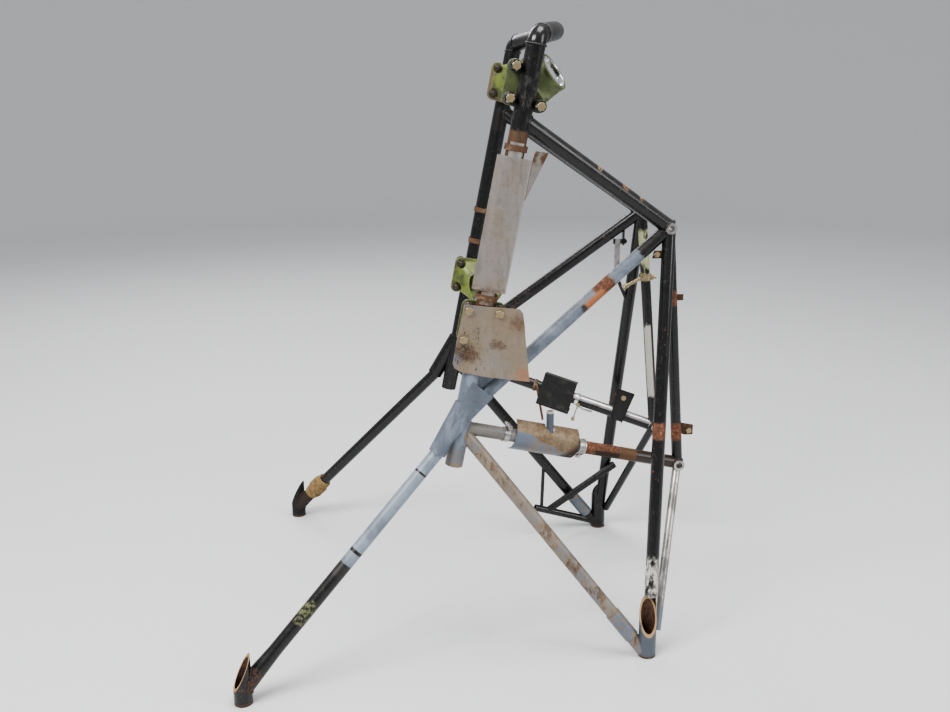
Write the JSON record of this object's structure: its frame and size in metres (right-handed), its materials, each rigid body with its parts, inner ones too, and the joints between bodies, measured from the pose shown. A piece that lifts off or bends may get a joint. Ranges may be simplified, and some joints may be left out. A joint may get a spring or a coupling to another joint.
{
  "type": "aircraft engine mount",
  "caption": "Welded steel tube frame that holds an aircraft piston engine in tilted isolator rings, with nose gear pivots and slant-cut wall fittings.",
  "frame": {"origin": "middle of the mount at the plane of the four wall fittings' feet", "axes": "+Z forward, away from the wall; +X to the belly and nose gear side; +Y to the left side of the aircraft"},
  "size_m": [0.6724, 0.6464, 0.8939],
  "materials": {
    "black_paint": "worn gloss",
    "grey_paint": "worn satin with rust specks",
    "chromate_casting": "green chromate with a machined bore",
    "primer": "matt primer",
    "bare_steel": "heat tinted",
    "rusted_steel": "rusty",
    "plated_fastener": "yellow plated",
    "twine": "twisted"
  },
  "bodies": {
    "frame": {"aft_shield_plate": "bare_steel", "bed_rail_left": "black_paint", "bed_rail_right": "black_paint", "bolt_seat_rings": "plated_fastener", "brace_diagonal": "black_paint", "brace_rail": "black_paint", "brace_strut": "black_paint", "bracket_bolts": "plated_fastener", "bracket_bosses": "rusted_steel", "bracket_nuts": "plated_fastener", "diagonal_sleeves": "grey_paint", "foot_lashing": "twine", "front_bow": "black_paint", "gear_front_tube_left": "primer", "gear_front_tube_right": "primer", "gear_post_left": "black_paint", "gear_post_right": "grey_paint", "gear_rear_tube_left": "bare_steel", "gear_rear_tube_right": "bare_steel", "gear_tabs": "rusted_steel", "gusset_left": "black_paint", "gusset_right": "grey_paint", "hanging_bracket": "grey_paint", "isolator_bracket_aft_left": "chromate_casting", "isolator_bracket_aft_right": "chromate_casting", "isolator_bracket_front_left": "chromate_casting", "isolator_bracket_front_right": "chromate_casting", "leg_sleeve_left": "black_paint", "leg_sleeve_right": "grey_paint", "lever_mount": "bare_steel", "link_clamp": "plated_fastener", "lower_diagonal_left": "black_paint", "lower_diagonal_right": "grey_paint", "lower_fitting_left": "black_paint", "lower_fitting_right": "grey_paint", "lower_pivot_housing_left": "rusted_steel", "lower_pivot_housing_right": "rusted_steel", "lower_rail_clamps": "bare_steel", "lower_rail_left": "black_paint", "lower_rail_right": "grey_paint", "mid_diagonal_left": "black_paint", "mid_diagonal_right": "grey_paint", "pivot_bushes": "bare_steel", "rail_bands": "bare_steel", "rail_shield": "bare_steel", "scoop_shield": "black_paint", "shield_wing": "bare_steel", "stub_tube": "grey_paint", "tab_bolts": "plated_fastener", "top_diagonal_left": "black_paint", "top_diagonal_right": "black_paint", "upper_fitting_left": "black_paint", "upper_fitting_right": "grey_paint", "upper_leg_left": "black_paint", "upper_leg_right": "grey_paint", "upper_pivot_housing_left": "bare_steel", "upper_pivot_housing_right": "bare_steel", "wrap_shield": "grey_paint"},
    "lever": {"door_lever": "grey_paint"},
    "link": {"link_rod": "plated_fastener"}
  },
  "joints": [
    {"name": "lever_pivot", "type": "hinge", "parent": "frame", "child": "lever", "pos_m": [0.2485, 0.105, 0.558], "axis": [1, 0, 0], "range_deg": [-20, 20]},
    {"name": "link_swivel", "type": "hinge", "parent": "frame", "child": "link", "pos_m": [0.28781, 0.08035, 0.503], "axis": [0, 1, 0], "range_deg": [-55, 20]}
  ]
}
